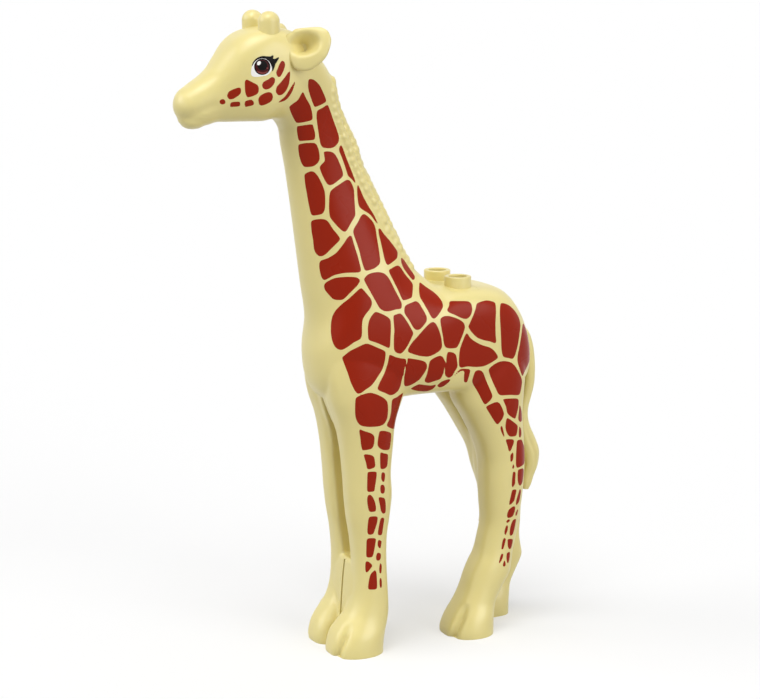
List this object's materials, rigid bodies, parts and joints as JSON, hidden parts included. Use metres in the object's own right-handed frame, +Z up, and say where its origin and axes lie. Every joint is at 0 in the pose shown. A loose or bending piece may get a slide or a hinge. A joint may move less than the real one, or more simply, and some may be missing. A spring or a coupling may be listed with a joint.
{
  "type": "toy giraffe figure",
  "caption": "Standing toy giraffe figure in moulded plastic with printed spots, hollow studs on its back and stud sockets under its hooves",
  "frame": {"origin": "on the floor under the middle of the figure's bounding box", "axes": "+Z is up, the giraffe looks along -Y and its left side is +X; the middle plane between its halves is X = 0"},
  "size_m": [0.0206, 0.0722, 0.1159],
  "materials": {
    "tan_plastic": "satin moulded ABS, tan",
    "eye_ink": "thin printed ink of the eyes, black with white and brown"
  },
  "bodies": {
    "root": {"left_shell": "tan_plastic", "right_shell": "tan_plastic", "stud_insert": "tan_plastic", "left_ear": "tan_plastic", "right_ear": "tan_plastic", "left_horn": "tan_plastic", "right_horn": "tan_plastic", "tail": "tan_plastic"}
  },
  "joints": []
}
